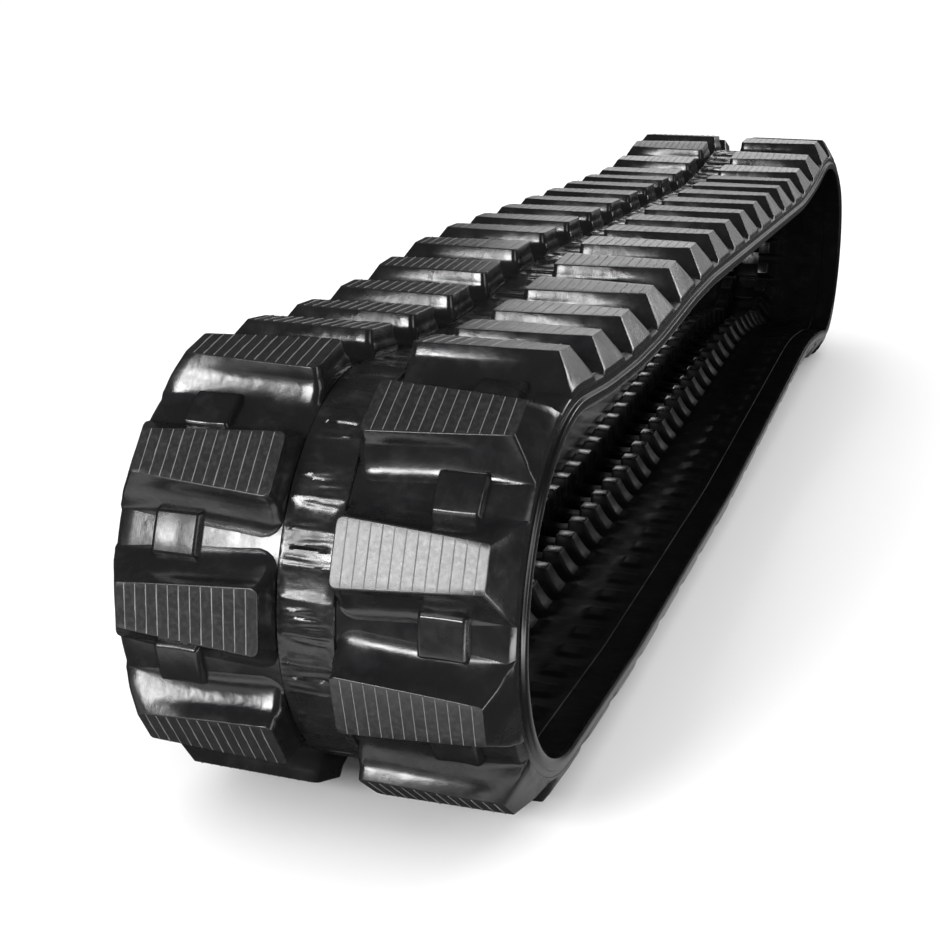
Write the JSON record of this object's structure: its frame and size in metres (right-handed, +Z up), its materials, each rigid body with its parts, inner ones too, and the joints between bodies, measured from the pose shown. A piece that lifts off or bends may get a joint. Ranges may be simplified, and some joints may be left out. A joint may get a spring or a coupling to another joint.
{
  "type": "rubber track",
  "caption": "Endless rubber track for a small tracked machine, with staggered ground lugs, steel cord bands, and steel cores whose paired guide horns stand on the inner side.",
  "frame": {"origin": "bottom centre of the overall box, on the ground under the loop", "axes": "+X across the track, +Y along the loop from the near nose to the far nose, +Z up"},
  "size_m": [0.35, 2.2082, 0.4191],
  "materials": {
    "tread_rubber": "gloss",
    "wheel_side_rubber": "satin",
    "core_steel": "satin",
    "steel_cord": "satin",
    "fabric_ply": "matte"
  },
  "bodies": {
    "root": {"tread_rubber": "tread_rubber", "wheel_side_rubber_left": "wheel_side_rubber", "wheel_side_rubber_right": "wheel_side_rubber", "cord_band_left": "steel_cord", "cord_band_right": "steel_cord", "ply_left": "fabric_ply", "ply_right": "fabric_ply", "core_pair_01": "core_steel", "core_pair_02": "core_steel", "core_pair_03": "core_steel", "core_pair_04": "core_steel", "core_pair_05": "core_steel", "core_pair_06": "core_steel", "core_pair_07": "core_steel", "core_pair_08": "core_steel", "core_pair_09": "core_steel", "core_pair_10": "core_steel", "core_pair_11": "core_steel", "core_pair_12": "core_steel", "core_pair_13": "core_steel", "core_pair_14": "core_steel", "core_pair_15": "core_steel", "core_pair_16": "core_steel", "core_pair_17": "core_steel", "core_pair_18": "core_steel", "core_pair_19": "core_steel", "core_pair_20": "core_steel", "core_pair_21": "core_steel", "core_pair_22": "core_steel", "core_pair_23": "core_steel", "core_pair_24": "core_steel", "core_pair_25": "core_steel", "core_pair_26": "core_steel", "core_pair_27": "core_steel", "core_pair_28": "core_steel", "core_pair_29": "core_steel", "core_pair_30": "core_steel", "core_pair_31": "core_steel", "core_pair_32": "core_steel", "core_pair_33": "core_steel", "core_pair_34": "core_steel", "core_pair_35": "core_steel", "core_pair_36": "core_steel", "core_pair_37": "core_steel", "core_pair_38": "core_steel", "core_pair_39": "core_steel", "core_pair_40": "core_steel", "core_pair_41": "core_steel", "core_pair_42": "core_steel", "core_pair_43": "core_steel"}
  },
  "joints": []
}
